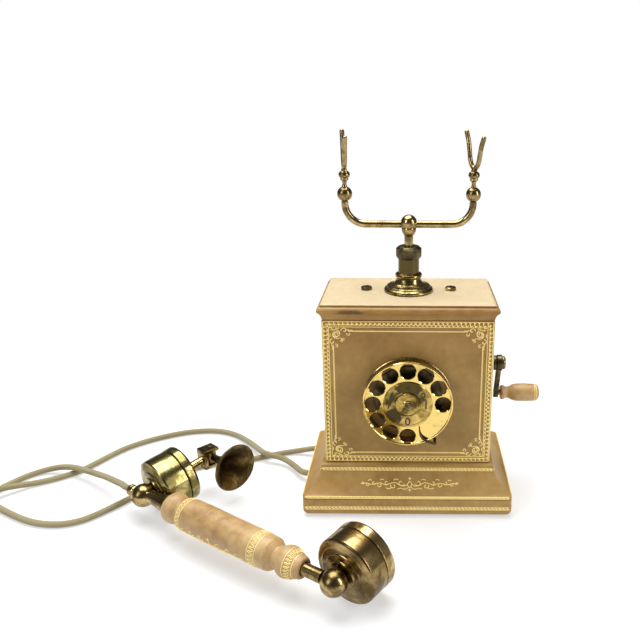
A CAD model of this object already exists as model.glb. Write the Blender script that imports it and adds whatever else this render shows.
# %% [markdown]
# # A leather-covered desk telephone with a brass dial
#
# The telephone is a wooden case covered in waxed calf leather and tooled in gold. A turned brass column carries
# a forked cradle, a crank stands out on the right, and the handset lies beside it on its woven cords. The packed
# model gives every solid its place; this lesson gives each one the shape and finish that the eye sees.

import math

import bmesh
import bpy
import numpy as np
from mathutils import Matrix, Vector


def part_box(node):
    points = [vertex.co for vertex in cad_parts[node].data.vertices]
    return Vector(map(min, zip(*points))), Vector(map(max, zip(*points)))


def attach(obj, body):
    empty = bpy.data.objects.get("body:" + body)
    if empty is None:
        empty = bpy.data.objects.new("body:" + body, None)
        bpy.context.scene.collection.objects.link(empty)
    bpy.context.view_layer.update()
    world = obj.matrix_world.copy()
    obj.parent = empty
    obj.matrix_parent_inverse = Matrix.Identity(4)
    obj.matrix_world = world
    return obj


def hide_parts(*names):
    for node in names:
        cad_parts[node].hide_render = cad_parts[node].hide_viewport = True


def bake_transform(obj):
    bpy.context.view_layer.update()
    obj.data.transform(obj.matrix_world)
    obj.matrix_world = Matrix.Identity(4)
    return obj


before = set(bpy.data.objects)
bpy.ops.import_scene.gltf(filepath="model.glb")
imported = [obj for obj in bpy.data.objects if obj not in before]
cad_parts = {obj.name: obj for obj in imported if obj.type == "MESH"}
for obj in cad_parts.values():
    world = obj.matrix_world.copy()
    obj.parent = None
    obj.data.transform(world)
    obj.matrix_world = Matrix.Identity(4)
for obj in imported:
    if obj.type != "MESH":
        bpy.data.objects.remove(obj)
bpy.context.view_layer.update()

# %% [markdown]
# ## Working in millimetres
#
# Telephone parts are a few millimetres across, so every shape below is drawn in millimetres and scaled once,
# when it becomes an object. Each group of turned parts has one placing matrix: the dial's runs out of the
# front, the crank's out of the right side, and the handset's along its grip.

# %% The places of the groups
MM = 0.001
case_low, case_high = (np.array(corner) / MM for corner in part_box("case_body"))
HALF_WIDTH, HALF_DEPTH = case_high[0], case_high[1]
BODY_FOOT, BODY_TOP = case_low[2], case_high[2]
DIAL_Z = 104.8
CRANK_Z = 120.9
CRANK_THROW = 28.9
HANDSET_SPAN = 210.0


def turn(degrees, axis):
    return Matrix.Rotation(math.radians(degrees), 4, axis)


def shift(x, y, z):
    return Matrix.Translation((x, y, z))


def heading(turned_degrees, tilted_degrees):
    across, up = math.radians(turned_degrees), math.radians(tilted_degrees)
    return Vector((math.cos(across) * math.cos(up), math.sin(across) * math.cos(up), math.sin(up)))


def aim(direction, at=(0, 0, 0)):
    """Lays a shape made along +Z along another direction."""
    return shift(*at) @ Vector((0, 0, 1)).rotation_difference(Vector(direction)).to_matrix().to_4x4()


UPRIGHT = Matrix.Identity(4)
DIAL = shift(0, -HALF_DEPTH, DIAL_Z) @ turn(90, "X")
CRANK = shift(0, 0, CRANK_Z) @ turn(90, "Y")
HANDSET = shift(-226.6, -66.1, 22.8) @ turn(-33.25, "Z") @ turn(-0.76, "Y")
TRANSMITTER_WAY = heading(81.25, 9)
RECEIVER_WAY = heading(87.25, 5)
TRANSMITTER = HANDSET @ aim(TRANSMITTER_WAY)
RECEIVER = HANDSET @ aim(RECEIVER_WAY, (HANDSET_SPAN, 0, 0))
ELBOW = HANDSET @ shift(*(TRANSMITTER_WAY * 68)) @ turn(81.25, "Z")
print("case half width and depth in mm:", round(HALF_WIDTH, 2), round(HALF_DEPTH, 2))

# %% [markdown]
# ## The camera
#
# The camera stands a little above the cradle and looks down by eighteen degrees. The horizontal shift slides
# its view sideways without turning the camera, so the case stays upright on the right.

# %% The camera
CAMERA_PLACE = (0.00135, -0.5941, 0.3546)
CAMERA_PITCH, CAMERA_ROLL = 0.315, 0.006
camera_data = bpy.data.cameras.new("camera")
camera_data.lens = 39.6
camera_data.sensor_width = 36
camera_data.shift_x = -0.1405
camera = bpy.data.objects.new("camera", camera_data)
camera.matrix_world = Matrix.Translation(CAMERA_PLACE) @ (
    Matrix.Rotation(math.pi / 2 - CAMERA_PITCH, 4, "X") @ Matrix.Rotation(CAMERA_ROLL, 4, "Z"))
bpy.context.scene.collection.objects.link(camera)
bpy.context.scene.camera = camera
print("camera looks down by", round(math.degrees(CAMERA_PITCH), 1), "degrees")

# %% [markdown]
# ## Colour and nodes
#
# Finishes are written as sRGB hex codes, as a paint chart gives them, and turned to linear light by one
# function. One helper adds a node, sets it and links it, so that each finish reads as a short list.


# %% Helpers for finishes
def linear(code):
    parts = [int(code[i:i + 2], 16) / 255 for i in (1, 3, 5)]
    return [p / 12.92 if p <= 0.04045 else ((p + 0.055) / 1.055) ** 2.4 for p in parts] + [1.0]


def node(tree, kind, inputs=None, **settings):
    made = tree.nodes.new(kind)
    for name, value in settings.items():
        setattr(made, name, value)
    for name, value in (inputs or {}).items():
        if isinstance(value, bpy.types.NodeSocket):
            tree.links.new(value, made.inputs[name])
        else:
            made.inputs[name].default_value = value
    return made


def new_finish(name):
    finish = bpy.data.materials.new(name)
    finish.use_nodes = True
    shader = finish.node_tree.nodes["Principled BSDF"]
    return finish, finish.node_tree, shader


def millimetres(tree):
    """Object coordinates in millimetres, so that a Scale of 1 / size gives a pattern its real size."""
    place = node(tree, "ShaderNodeTexCoord")
    return node(tree, "ShaderNodeVectorMath", {0: place.outputs["Object"], 1: (1000, 1000, 1000)},
                operation="MULTIPLY").outputs[0]


# %% [markdown]
# The finishes are built from a few kinds of node, so each kind gets a short helper that adds one node and
# hands back its output. Sizes are in millimetres: a noise of size 7 has lumps about seven millimetres across.


# %% Helpers for patterns
def noise(tree, place, size_mm, detail, **more):
    return node(tree, "ShaderNodeTexNoise", {"Vector": place,
        "Scale": 1 / size_mm, "Detail": detail, **more}).outputs[0]


def combined(tree, operation, *values):
    """One Math node on numbers or outputs."""
    return node(tree, "ShaderNodeMath", dict(enumerate(values)), operation=operation).outputs[0]


def spread(tree, value, low, high, new_low=0.0, new_high=1.0):
    """Maps the range low to high onto the range new_low to new_high."""
    return node(tree, "ShaderNodeMapRange", {"Value": value, "From Min": low, "From Max": high,
                                             "To Min": new_low, "To Max": new_high}).outputs[0]


def mixed(tree, amount, first, second, way="MIX"):
    return node(tree, "ShaderNodeMix", {0: amount, 6: first,
        7: second}, data_type="RGBA", blend_type=way).outputs[2]


def distance_from(tree, place, middle_mm, reach_mm):
    """Distance from a point, counted in reaches, so that 1 lies on an ellipsoid round it."""
    away = node(tree, "ShaderNodeVectorMath", {0: place, 1: middle_mm}, operation="SUBTRACT").outputs[0]
    away = node(tree, "ShaderNodeVectorMath",
        {0: away, 1: [1 / reach for reach in reach_mm]}, operation="MULTIPLY")
    return node(tree, "ShaderNodeVectorMath", {0: away.outputs[0]}, operation="LENGTH").outputs["Value"]


def bumped(tree, height, strength, depth_mm):
    return node(tree, "ShaderNodeBump", {"Height": height, "Strength": strength,
        "Distance": depth_mm * MM}).outputs[0]


def wired(tree, shader, **outputs):
    """Links outputs to the shader's sockets, so Base_Color stands for the socket Base Color."""
    for name, output in outputs.items():
        tree.links.new(output, shader.inputs[name.replace("_", " ")])


# %% [markdown]
# ## Leather
#
# The case is covered in vegetable-tanned calf, dyed tan, waxed and rubbed. To the eye it is a warm brown that
# drifts over tens of millimetres, with finer mottling, pores under a millimetre wide and a soft wax sheen.
# The body darkens towards the lid, the lid's top has faded in the light, and its front moulding is scuffed.

# %% Waxed calf leather
FADED_ABOVE = (187.3, 188.1)
SCUFF_MIDDLE, SCUFF_REACH = (-47, -50, 182), (17, 30, 3.4)


def waxed_leather(name, pale, middle, deep, roughness, faded=None, scuffed=False, shaded=None):
    finish, tree, shader = new_finish(name)
    place = millimetres(tree)
    drift = noise(tree, place, 48, 3, Roughness=0.55)
    mottle = noise(tree, place, 7, 5, Roughness=0.65)
    wrinkles = noise(tree, place, 1.6, 6)
    pores = node(tree, "ShaderNodeTexVoronoi", {"Vector": place, "Scale": 1 / 0.9, "Randomness": 1})
    pores = pores.outputs["Distance"]
    tone = combined(tree, "MULTIPLY_ADD", mottle, 0.38, combined(tree, "MULTIPLY", drift, 0.62))
    ramp = node(tree, "ShaderNodeValToRGB", {"Fac": tone})
    first, last = ramp.color_ramp.elements
    first.position, first.color = 0.36, linear(deep)
    last.position, last.color = 0.64, linear(pale)
    ramp.color_ramp.elements.new(0.5).color = linear(middle)
    creases = spread(tree, pores, 0.1, 0.7, 1.0, 0.88)
    colour = mixed(tree, 1.0, ramp.outputs[0], creases, "MULTIPLY")
    level = node(tree, "ShaderNodeSeparateXYZ", {0: place}).outputs[2]
    if shaded:
        low, high, tint = shaded
        colour = mixed(tree, spread(tree, level, low, high), colour, linear(tint), "MULTIPLY")
    if faded:
        bleached = mixed(tree, tone, linear(faded[1]), linear(faded[0]))
        colour = mixed(tree, spread(tree, level, *FADED_ABOVE), colour, bleached)
    if scuffed:
        near = distance_from(tree, place, SCUFF_MIDDLE, SCUFF_REACH)
        worn = combined(tree, "SUBTRACT", noise(tree, place, 3.4, 4), near)
        colour = mixed(tree, spread(tree, worn, -0.32, 0.12, 0.0, 0.75), colour, linear("#3e2c16"))
    height = combined(tree, "MULTIPLY_ADD", wrinkles, 0.8, pores)
    gloss = spread(tree, mottle, 0.3, 0.7, roughness - 0.08, roughness + 0.1)
    wired(tree, shader, Base_Color=colour, Roughness=gloss, Normal=bumped(tree, height, 0.3, 0.2))
    shader.inputs["IOR"].default_value = 1.48
    return finish


tan_calf = waxed_leather("waxed_tan_calf", "#b79454", "#a98546", "#977437", 0.5, shaded=(128, 172, "#e9d6c2"))
lid_calf = waxed_leather("waxed_lid_calf", "#aa8448", "#9d7539",
    "#875f28", 0.42, faded=("#d3c29f", "#bda781"), scuffed=True)
plinth_calf = waxed_leather("waxed_plinth_calf", "#b89557", "#aa8547", "#967036", 0.46)
grip_calf = waxed_leather("waxed_grip_calf", "#cfb27e", "#bd9a68", "#9a754a", 0.4)
handle_calf = waxed_leather("waxed_handle_calf", "#d6b680", "#c49e68", "#a67c4a", 0.42)

# %% [markdown]
# ## Brass
#
# The fittings are turned and polished brass that has aged: clear yellow where it is handled, brown or green
# where lacquer has gone. Two noises mix the clear metal with its tarnish, and the tarnished parts are rougher.
# A few stains sit at places of their own, on the number disc and on the column's tube.


# %% Aged brass
def aged_brass(name, clear, tarnished, amount, roughness, patch_mm=14, stains=()):
    finish, tree, shader = new_finish(name)
    place = millimetres(tree)
    patches = noise(tree, place, patch_mm, 4, Roughness=0.6, Distortion=0.4)
    specks = noise(tree, place, 1.8, 3)
    age = combined(tree, "MULTIPLY_ADD", specks, 0.16, patches)
    for middle, across, up in stains:
        near = distance_from(tree, place, middle, (across, across, up))
        age = combined(tree, "ADD", age, spread(tree, near, 0.6, 1.2, 0.4, 0.0))
    dull = spread(tree, age, 0.85 - amount, 0.91 - amount * 0.5)
    gloss = spread(tree, dull, 0.0, 1.0, roughness, roughness + 0.16)
    wired(tree, shader, Base_Color=mixed(tree, dull, linear(clear), linear(tarnished)), Roughness=gloss,
          Normal=bumped(tree, specks, 0.12, 0.08))
    shader.inputs["Metallic"].default_value = 1.0
    return finish


disc_stains = [(tuple(DIAL @ Vector(spot)), across, up) for spot, across, up in
              (((1, 15.5, 14), 11, 5), ((-13, -10, 14), 6, 6))]
polished_brass = aged_brass("polished_brass", "#c3aa76", "#6f5e3a", 0.46, 0.13, 9)
dial_brass = aged_brass("polished_dial_brass", "#e8ca7a", "#b89a58", 0.2, 0.11, 11)
disc_brass = aged_brass("browned_disc_brass", "#cdae63", "#54461f", 0.42, 0.1, 12, disc_stains)
cup_brass = aged_brass("lacquered_cup_brass", "#d3c284", "#6c6238", 0.5, 0.1, 13)
brown_brass = aged_brass("browned_cup_brass", "#ab9262", "#5c4a29", 0.48, 0.14, 15)
cap_brass = aged_brass("rubbed_cap_brass", "#cdb37a", "#7a6538", 0.46, 0.12, 14)
horn_brass = aged_brass("tarnished_horn_brass", "#a08a55", "#5c4c2e", 0.48, 0.22, 10)
horn_lining = aged_brass("dark_horn_lining", "#8a7549", "#41341d", 0.5, 0.3, 12)
dull_brass = aged_brass("patinated_brass", "#7d7050", "#453e2c", 0.48, 0.3, 8)
column_brass = aged_brass("browned_column_brass", "#c4ac70", "#5d5030", 0.4, 0.14, 9, [((0, 0, 212), 18, 9)])
print("leather and brass finishes:", len(bpy.data.materials))

# %% [markdown]
# ## Gold foil, enamel, felt, steel and moulded parts
#
# The tooling is gold leaf pressed into the leather, so it is bright and slightly broken, and a little emission
# stands for the glints that foil gives towards every side. The other finishes are those of the small and
# hidden pieces: zinc-plated steel, phenolic mouldings, wound wire and felt.


# %% Gold leaf
def plain_finish(name, pale, deep, size_mm, roughness, metallic=0.0, bump_mm=0.03):
    finish, tree, shader = new_finish(name)
    grain = noise(tree, millimetres(tree), size_mm, 4)
    gloss = spread(tree, grain, 0.0, 1.0, roughness - 0.06, roughness + 0.08)
    wired(tree, shader, Base_Color=mixed(tree, grain, linear(pale), linear(deep)), Roughness=gloss,
          Normal=bumped(tree, grain, 0.4, bump_mm))
    shader.inputs["Metallic"].default_value = metallic
    return finish


gold_leaf = plain_finish("pressed_gold_leaf", "#fff1b4", "#dcbc62", 0.9, 0.42, 0.12)
leaf_shader = gold_leaf.node_tree.nodes["Principled BSDF"]
leaf_shader.inputs["Emission Color"].default_value = linear("#f2d977")
leaf_shader.inputs["Emission Strength"].default_value = 0.2
black_enamel = plain_finish("black_enamel", "#221d13", "#3a3020", 0.8, 0.4)
zinc_steel = plain_finish("zinc_plated_steel", "#a3a39c", "#84857f", 3, 0.38, 1.0)
phenolic = plain_finish("moulded_phenolic", "#33261f", "#1f1713", 4, 0.34)
green_felt = plain_finish("pressed_wool_felt", "#3c4a36", "#242e20", 0.7, 0.95, 0.0, 0.3)
wound_wire = plain_finish("wound_enamelled_wire", "#b0683c", "#7c4424", 0.6, 0.42, 0.8, 0.1)
black_moulding = plain_finish("black_moulded_resin", "#1f1e1c", "#121110", 2, 0.5)


# %% [markdown]
# ## Woven cord cover
#
# The cords are wires in a braided cotton sleeve, olive drab and a little faded. The braid has two sets of
# strands that wind opposite ways. The sleeve's own map runs along the cord in millimetres and once round it,
# so the strands close on themselves. Real strands are half a millimetre wide; these are drawn at 1.1 mm.


# %% Braided cotton
STRAND_PITCH = 2.2
STRANDS_ROUND = 6.0


def braided_cotton(name, pale, deep):
    finish, tree, shader = new_finish(name)
    sleeve = node(tree, "ShaderNodeTexCoord").outputs["UV"]
    apart = node(tree, "ShaderNodeSeparateXYZ", {0: sleeve})
    run = combined(tree, "MULTIPLY", apart.outputs[0], 1 / STRAND_PITCH)
    waves = []
    for way in (1, -1):
        wound = combined(tree, "MULTIPLY_ADD", apart.outputs[1], way * STRANDS_ROUND, run)
        waves.append(combined(tree, "SINE", combined(tree, "MULTIPLY", wound, 2 * math.pi)))
    strands = combined(tree, "MAXIMUM", *waves)
    fading = noise(tree, millimetres(tree), 18, 3)
    tone = combined(tree, "MULTIPLY_ADD", fading, 0.4, spread(tree, strands, -0.6, 1.0, 0.0, 0.75))
    wired(tree, shader, Base_Color=mixed(tree, tone, linear(deep), linear(pale)),
          Normal=bumped(tree, strands, 0.8, 0.25))
    shader.inputs["Roughness"].default_value = 0.85
    shader.inputs["Sheen Weight"].default_value = 0.25
    return finish


olive_braid = braided_cotton("braided_olive_cotton", "#a69a72", "#6f6544")

# %% [markdown]
# ## Shapes
#
# Most fittings are turned on a lathe, so one helper spins an outline. Real edges are never quite sharp: the
# outline's corners are rounded first, with a spare point on each side that keeps the flats flat when shaded.


# %% Softened outlines
def soften(outline, radius, is_loop):
    """Rounds an outline's corners. Points are (across, up) or (across, up, another number to carry)."""
    points = [np.array(p, float) for p in outline]
    count = len(points)
    result = []
    for i, corner in enumerate(points):
        if not is_loop and i in (0, count - 1):
            result.append(corner)
            continue
        back, ahead = points[i - 1] - corner, points[(i + 1) % count] - corner
        length_back, length_ahead = np.hypot(*back[:2]), np.hypot(*ahead[:2])
        cosine = np.dot(back[:2], ahead[:2]) / (length_back * length_ahead)
        bend = math.pi - math.acos(max(-1, min(1, cosine)))
        if bend < 0.3:
            result.append(corner)
            continue
        reach = min(radius * math.tan(bend / 2), 0.36 * length_back, 0.36 * length_ahead)
        start, end = corner + back / length_back * reach, corner + ahead / length_ahead * reach
        result.append(corner + back / length_back * reach * 1.35)
        for t in (0, 0.25, 0.5, 0.75, 1):
            result.append((1 - t) ** 2 * start + 2 * t * (1 - t) * corner + t * t * end)
        result.append(corner + ahead / length_ahead * reach * 1.35)
    return result


# %% [markdown]
# A shape is a pair: its points in millimetres and its faces. Shapes are placed by matrices and joined up only
# when they become a piece.


# %% Shapes, meshes and objects
def in_scene(name, data):
    item = bpy.data.objects.new(name, data)
    bpy.context.scene.collection.objects.link(item)
    return item


def mesh_from(name, shape):
    mesh = bpy.data.meshes.new(name)
    mesh.from_pydata((np.array(shape[0]) * MM).tolist(), [], shape[1])
    return mesh


def shape_from(item, scale=1.0):
    """Reads an object back as a shape once its modifiers have run, and removes the object."""
    mesh = bpy.data.meshes.new_from_object(item.evaluated_get(bpy.context.evaluated_depsgraph_get()))
    points = np.array([v.co[:] for v in mesh.vertices]) / scale
    faces = [tuple(f.vertices) for f in mesh.polygons]
    bpy.data.objects.remove(item)
    return points, faces


# %% The lathe
def moved(shape, place):
    points, faces = shape
    matrix = np.array(place)
    return points @ matrix[:3, :3].T + matrix[:3, 3], faces


def rings_to_faces(rings, is_loop):
    faces = []
    pairs = list(zip(rings, rings[1:])) + ([(rings[-1], rings[0])] if is_loop else [])
    for low, high in pairs:
        count = max(len(low), len(high))
        for i in range(count):
            j = (i + 1) % count
            if len(low) == 1:
                faces.append((low[0], high[j], high[i]))
            elif len(high) == 1:
                faces.append((low[i], low[j], high[0]))
            else:
                faces.append((low[i], low[j], high[j], high[i]))
    return faces


def turned(outline, soft=0.4, sides=96, is_loop=False, place=UPRIGHT, flute=None):
    """Spins (radius, height) points about +Z. An outline that doesn't start on the axis is a loop."""
    profile = soften(outline, soft, is_loop)
    angles = np.linspace(0, 2 * math.pi, sides, endpoint=False)
    points, rings = [], []
    for radius, height in profile:
        if radius < 1e-6:
            rings.append([len(points)])
            points.append((0, 0, height))
            continue
        radii = radius + (flute(angles, radius, height) if flute else 0 * angles)
        rings.append(list(range(len(points), len(points) + sides)))
        points += list(zip(radii * np.cos(angles), radii * np.sin(angles), np.full(sides, height)))
    return moved((np.array(points, float), rings_to_faces(rings, is_loop)), place)


def arc(radius, height, start, end, steps=10):
    angles = np.radians(np.linspace(start, end, steps + 1))
    return [(radius * math.cos(a), height + radius * math.sin(a)) for a in angles]


# %% [markdown]
# Mouldings run round the case, so their outline is carried round a rounded rectangle instead of a circle.
# Rods and cords are round sections swept along a smooth path, with frames that never twist.


# %% Mouldings
CORNER_STEPS = 8
CORNER_EASE = 0.9


def moulded(outline, soft=0.6, is_loop=True, place=UPRIGHT):
    """Carries (offset from the case, height, corner radius) points round the case."""
    points, rings = [], []
    for offset, height, corner in soften(outline, soft, is_loop):
        ring = []
        for quarter in range(4):
            side_x = 1 if quarter in (0, 3) else -1
            side_y = 1 if quarter < 2 else -1
            centre = np.array([side_x * (HALF_WIDTH + offset - corner),
                side_y * (HALF_DEPTH + offset - corner)])
            turns = [math.pi / 2 * (quarter + step / CORNER_STEPS) for step in range(CORNER_STEPS + 1)]
            spots = [centre + corner * np.array([math.cos(t), math.sin(t)]) for t in turns]
            before = np.array([math.sin(turns[0]), -math.cos(turns[0])]) * CORNER_EASE
            after = np.array([-math.sin(turns[-1]), math.cos(turns[-1])]) * CORNER_EASE
            ring += [spots[0] + before] + spots + [spots[-1] + after]
        rings.append(list(range(len(points), len(points) + len(ring))))
        points += [(x, y, height) for x, y in ring]
    faces = rings_to_faces(rings, is_loop)
    if not is_loop:
        faces += [tuple(reversed(rings[0])), tuple(rings[-1])]
    return moved((np.array(points, float), faces), place)


# %% Rods and cords
def smooth_path(knots, step):
    """Centripetal Catmull-Rom through the knots, sampled about every step millimetres."""
    knots = [np.array(k, float) for k in knots]
    line = [2 * knots[0] - knots[1]] + knots + [2 * knots[-1] - knots[-2]]
    path = []
    for a, b, c, d in zip(line, line[1:], line[2:], line[3:]):
        t0 = 0.0
        t1 = t0 + math.sqrt(np.linalg.norm(b - a))
        t2 = t1 + math.sqrt(np.linalg.norm(c - b))
        t3 = t2 + math.sqrt(np.linalg.norm(d - c))
        steps = max(2, int(np.linalg.norm(c - b) / step))
        for t in np.linspace(t1, t2, steps, endpoint=False):
            p1 = (t1 - t) / (t1 - t0) * a + (t - t0) / (t1 - t0) * b
            p2 = (t2 - t) / (t2 - t1) * b + (t - t1) / (t2 - t1) * c
            p3 = (t3 - t) / (t3 - t2) * c + (t - t2) / (t3 - t2) * d
            q1 = (t2 - t) / (t2 - t0) * p1 + (t - t0) / (t2 - t0) * p2
            q2 = (t3 - t) / (t3 - t1) * p2 + (t - t1) / (t3 - t1) * p3
            path.append((t2 - t) / (t2 - t1) * q1 + (t - t1) / (t2 - t1) * q2)
    path.append(knots[-1])
    return np.array(path)


def swept(path, radius, sides=16, round_ends=False, place=UPRIGHT):
    """A round bar along a path, with closed ends."""
    path = np.array(path, float)
    radii = np.full(len(path), float(radius))
    if round_ends:
        for end, inner in ((0, 1), (-1, -2)):
            way = path[end] - path[inner]
            way = way / np.linalg.norm(way)
            cap = [(path[end] + way * radius * math.sin(a),
                radius * math.cos(a)) for a in (0.4, 0.8, 1.15, 1.45)]
            if end == 0:
                path = np.vstack([[c[0] for c in reversed(cap)], path])
                radii = np.concatenate([[c[1] for c in reversed(cap)], radii])
            else:
                path = np.vstack([path, [c[0] for c in cap]])
                radii = np.concatenate([radii, [c[1] for c in cap]])
    tangents = np.gradient(path, axis=0)
    tangents /= np.linalg.norm(tangents, axis=1)[:, None]
    side = np.cross(tangents[0], (0, 0, 1) if abs(tangents[0][2]) < 0.9 else (1, 0, 0))
    side /= np.linalg.norm(side)
    points, rings = [], []
    for spot, way, reach in zip(path, tangents, radii):
        side = side - np.dot(side, way) * way
        side /= np.linalg.norm(side)
        other = np.cross(way, side)
        rings.append(list(range(len(points), len(points) + sides)))
        for angle in np.linspace(0, 2 * math.pi, sides, endpoint=False):
            points.append(spot + reach * (math.cos(angle) * side + math.sin(angle) * other))
    faces = rings_to_faces(rings, False) + [tuple(reversed(rings[0])), tuple(rings[-1])]
    return moved((np.array(points), faces), place)


# %% [markdown]
# Plates and blocks are flat outlines pulled up and bevelled. Holes are cut with exact booleans before a shape
# becomes a piece, so that no modifier is left on it.


# %% Slabs and drilled shapes
def slab(outline, low, high, soft=0.25, place=UPRIGHT):
    """A flat outline of (x, y) points between two heights, with its edges eased."""
    made = bmesh.new()
    face = made.faces.new([made.verts.new((x, y, low)) for x, y in outline])
    grown = bmesh.ops.extrude_face_region(made, geom=[face])
    rising = [v for v in grown["geom"] if isinstance(v, bmesh.types.BMVert)]
    bmesh.ops.translate(made, verts=rising, vec=(0, 0, high - low))
    bmesh.ops.bevel(made, geom=list(made.edges), offset=soft, segments=3, affect="EDGES", profile=0.6)
    made.verts.index_update()
    points = np.array([v.co[:] for v in made.verts])
    faces = [tuple(v.index for v in f.verts) for f in made.faces]
    made.free()
    return moved((points, faces), place)


def block(x0, x1, y0, y1, z0, z1, soft=0.25, place=UPRIGHT):
    return slab([(x0, y0), (x1, y0), (x1, y1), (x0, y1)], z0, z1, soft, place)


def drilled(shape, tools):
    """Cuts shapes out of a shape with exact booleans, and gives the result as a shape."""
    def held(one):
        mesh = bpy.data.meshes.new("blank")
        mesh.from_pydata(one[0].tolist(), [], one[1])
        made = bmesh.new()
        made.from_mesh(mesh)
        bmesh.ops.recalc_face_normals(made, faces=made.faces)
        made.to_mesh(mesh)
        made.free()
        return in_scene("blank", mesh)

    blank, drills = held(shape), [held(tool) for tool in tools]
    for drill in drills:
        modifier = blank.modifiers.new("drill", "BOOLEAN")
        modifier.operation, modifier.solver, modifier.object = "DIFFERENCE", "EXACT", drill
    result = shape_from(blank)
    for drill in drills:
        bpy.data.objects.remove(drill)
    return result


# %% [markdown]
# ## From shapes to pieces
#
# A piece is one object at the origin whose mesh holds its place. It rides on a body of the frame, stands for
# one solid of it and names the slot it is painted from.

# %% The piece helper
made_pieces = {}


def piece(name, shapes, finish, body, node_name=None, sharp=38):
    """Shapes are (points, faces) in millimetres, or ((points, faces), another finish)."""
    points, faces, marks, finishes = [], [], [], [finish]
    for entry in shapes:
        own = finish
        if isinstance(entry[1], bpy.types.Material):
            entry, own = entry
        if own not in finishes:
            finishes.append(own)
        start = sum(len(p) for p in points)
        points.append(entry[0])
        faces += [tuple(i + start for i in face) for face in entry[1]]
        marks += [finishes.index(own)] * len(entry[1])
    mesh = mesh_from(name, (np.vstack(points), faces))
    mesh.polygons.foreach_set("material_index", marks)
    tidy = bmesh.new()
    tidy.from_mesh(mesh)
    bmesh.ops.recalc_face_normals(tidy, faces=tidy.faces)
    tidy.to_mesh(mesh)
    tidy.free()
    mesh.polygons.foreach_set("use_smooth", [True] * len(mesh.polygons))
    mesh.set_sharp_from_angle(angle=math.radians(sharp))
    for one in finishes:
        mesh.materials.append(one)
    made = in_scene(name, mesh)
    print(f"{name}: {len(mesh.polygons)} faces, rides on {body}")
    return settle(made, body, node_name)


def settle(made, body, node_name=None):
    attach(made, body)
    if node_name:
        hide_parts(node_name)
    made_pieces[made.name] = made
    return made


# %% [markdown]
# ## The two cords
#
# Each cord follows a list of points, and lies on the desk except where it crosses the other one or climbs.
# A woven cord of this thickness bends no tighter than about two of its diameters. The line cord's spare
# length is wound in two layers of three turns, as it would be put away, and ends in its plug. When the handset
# is lifted, the cord's far loop goes with it, and the short run between two named points takes up the lift.

# %% The routes, in millimetres
GROMMET_FACE = -93.1
HANDSET_ROUTE = [
    (GROMMET_FACE, 46, 8), (-96, 46.1, 7.9), (-104, 47.4, 5.9), (-111, 48.4, 4.2), (-119, 47.8, 3.1),
    (-127, 45.4, 2.9), (-137, 41, 2.9), (-147, 36.4, 2.9), (-157, 32, 2.9), (-171, 28, 2.9),
    (-186, 24, 2.9), (-201, 18, 2.9), (-214, 10, 2.9), (-226, 0, 2.9), (-236, -12, 2.9), (-243, -25, 2.9),
    (-249, -37, 2.9), (-256, -48, 2.9), (-264, -58.5, 2.9), (-271, -67, 2.9), (-279, -74.5, 2.9),
    (-290, -79.4, 2.9), (-302, -80.6, 2.9), (-314, -79, 2.9), (-326, -75, 2.9), (-337, -69.6, 2.9),
    (-348, -63.4, 2.9), (-359, -56.6, 2.9), (-368, -50, 2.9), (-375, -42, 2.9), (-378, -33, 2.9),
    (-375.4, -23.4, 2.9), (-370.4, -14.6, 2.9), (-365, -5.6, 2.9), (-357.6, 2.6, 3), (-347, 7.6, 4.4),
    (-334, 7.2, 7.2), (-321, 3.8, 9), (-308, -2.4, 10), (-294, -11.4, 11.9), (-279, -22.4, 14.9),
    (-264, -35.6, 18.2), (-253, -46, 21),
]
LINE_ROUTE = [
    (GROMMET_FACE, -2, 8), (-96, -1.8, 7.9), (-99.4, -0.2, 7.6), (-103, 3.4, 7.2), (-109, 12, 6.6),
    (-117, 21.4, 6.6), (-124, 26.6, 7.2), (-131, 29.4, 8.1), (-138, 31.4, 8.8), (-144, 34.8, 9),
    (-149, 40.6, 8.6), (-156, 52, 6.4), (-168, 68.6, 3.8), (-182, 82.6, 2.9), (-198, 91, 2.9),
    (-215, 93.4, 2.9), (-236, 90, 2.9), (-256, 81, 2.9), (-275, 68, 2.9), (-290, 53, 2.9), (-300, 37, 2.9),
    (-308, 22, 2.9), (-315, 10, 2.9), (-325, 0, 2.9), (-338, -9.4, 2.9), (-350, -16.6, 3.6),
    (-360, -24.4, 5.8), (-369, -33, 8.1), (-377, -40.6, 9), (-385, -46.6, 8.6), (-391.5, -51.4, 6.9),
]
HANDSET_ROUTE = [tuple(size / 1000 for size in knot) for knot in HANDSET_ROUTE]
LINE_ROUTE = [tuple(size / 1000 for size in knot) for knot in LINE_ROUTE]

# %% Sizes of the cord, its coil and its plug, in metres
CORD_DIAMETER = 0.0055
COIL_CENTRE = (-0.394, -0.094)
COIL_OUTER, COIL_INNER = 0.0351, 0.0235
UPPER_LAYER, LOWER_LAYER = 0.0084, 0.0029
PLUG_ENTRY = (-0.438, -0.104, 0.007)
FERRULE_END = 18.4

# %% The coil of the line cord
TURN_POINTS = 16


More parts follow.
